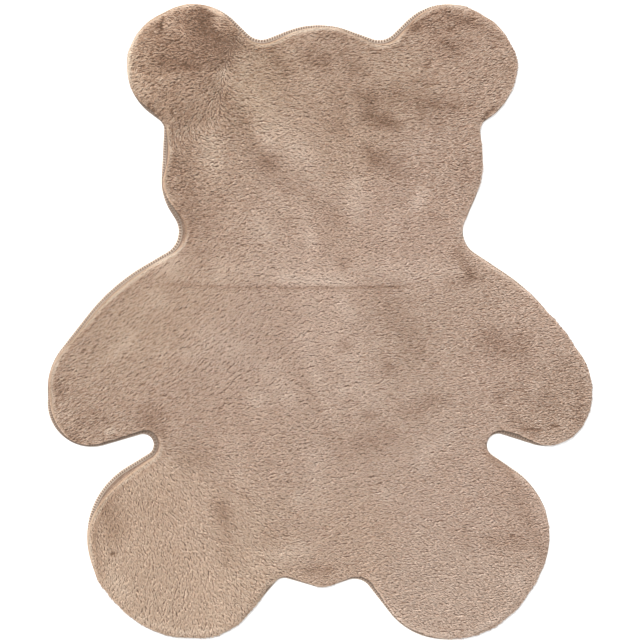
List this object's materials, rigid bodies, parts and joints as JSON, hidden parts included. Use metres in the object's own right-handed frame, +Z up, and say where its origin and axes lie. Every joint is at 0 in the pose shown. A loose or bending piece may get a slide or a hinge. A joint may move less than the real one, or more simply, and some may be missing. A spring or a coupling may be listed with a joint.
{
  "type": "bear shaped kids rug",
  "caption": "Flat plush rug cut in the outline of a bear seen from the front, with an overlocked edge, to lie on a nursery or playroom floor.",
  "frame": {"origin": "middle of the rug's bounding box, on the floor that it lies on", "axes": "+Z up through the pile, +Y towards the bear's head, +X to the right when the rug is seen from above with its head up"},
  "size_m": [1.2, 1.4, 0.0171],
  "materials": {
    "plush": "short soft mocha-brown pile, matt with a light sheen",
    "thread": "pale brown overlock thread, matt"
  },
  "bodies": {
    "root": {"plush_cloth": "plush", "overlocked_edge": "thread"}
  },
  "joints": []
}
